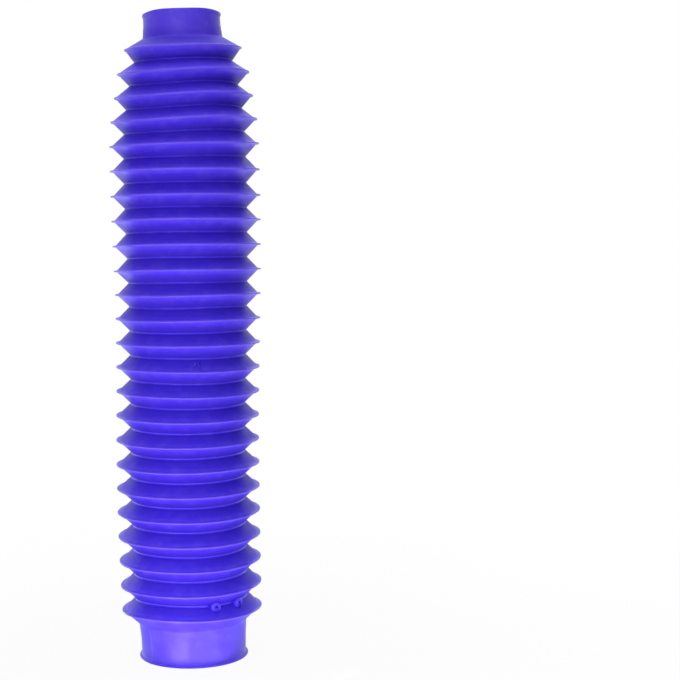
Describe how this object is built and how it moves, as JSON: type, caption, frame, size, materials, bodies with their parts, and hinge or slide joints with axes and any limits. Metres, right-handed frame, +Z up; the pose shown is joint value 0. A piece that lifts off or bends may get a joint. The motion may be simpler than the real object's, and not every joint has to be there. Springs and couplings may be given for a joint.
{
  "type": "fork gaiter",
  "caption": "Ribbed rubber fork gaiter: a tall bellows sleeve with a narrow collar, tapered shoulder folds, a wide plain cuff with a beaded end, and small breather vents.",
  "frame": {"origin": "on the floor plane, under the middle of the gaiter's overall box, at the end of the wide cuff", "axes": "+Z up along the gaiter from the wide cuff to the narrow collar, -Y towards the side that faces the viewer"},
  "size_m": [0.083, 0.083, 0.3603],
  "materials": {
    "violet_rubber": "smooth moulded coloured rubber with a soft gloss"
  },
  "bodies": {
    "root": {"gaiter": "violet_rubber"}
  },
  "joints": []
}
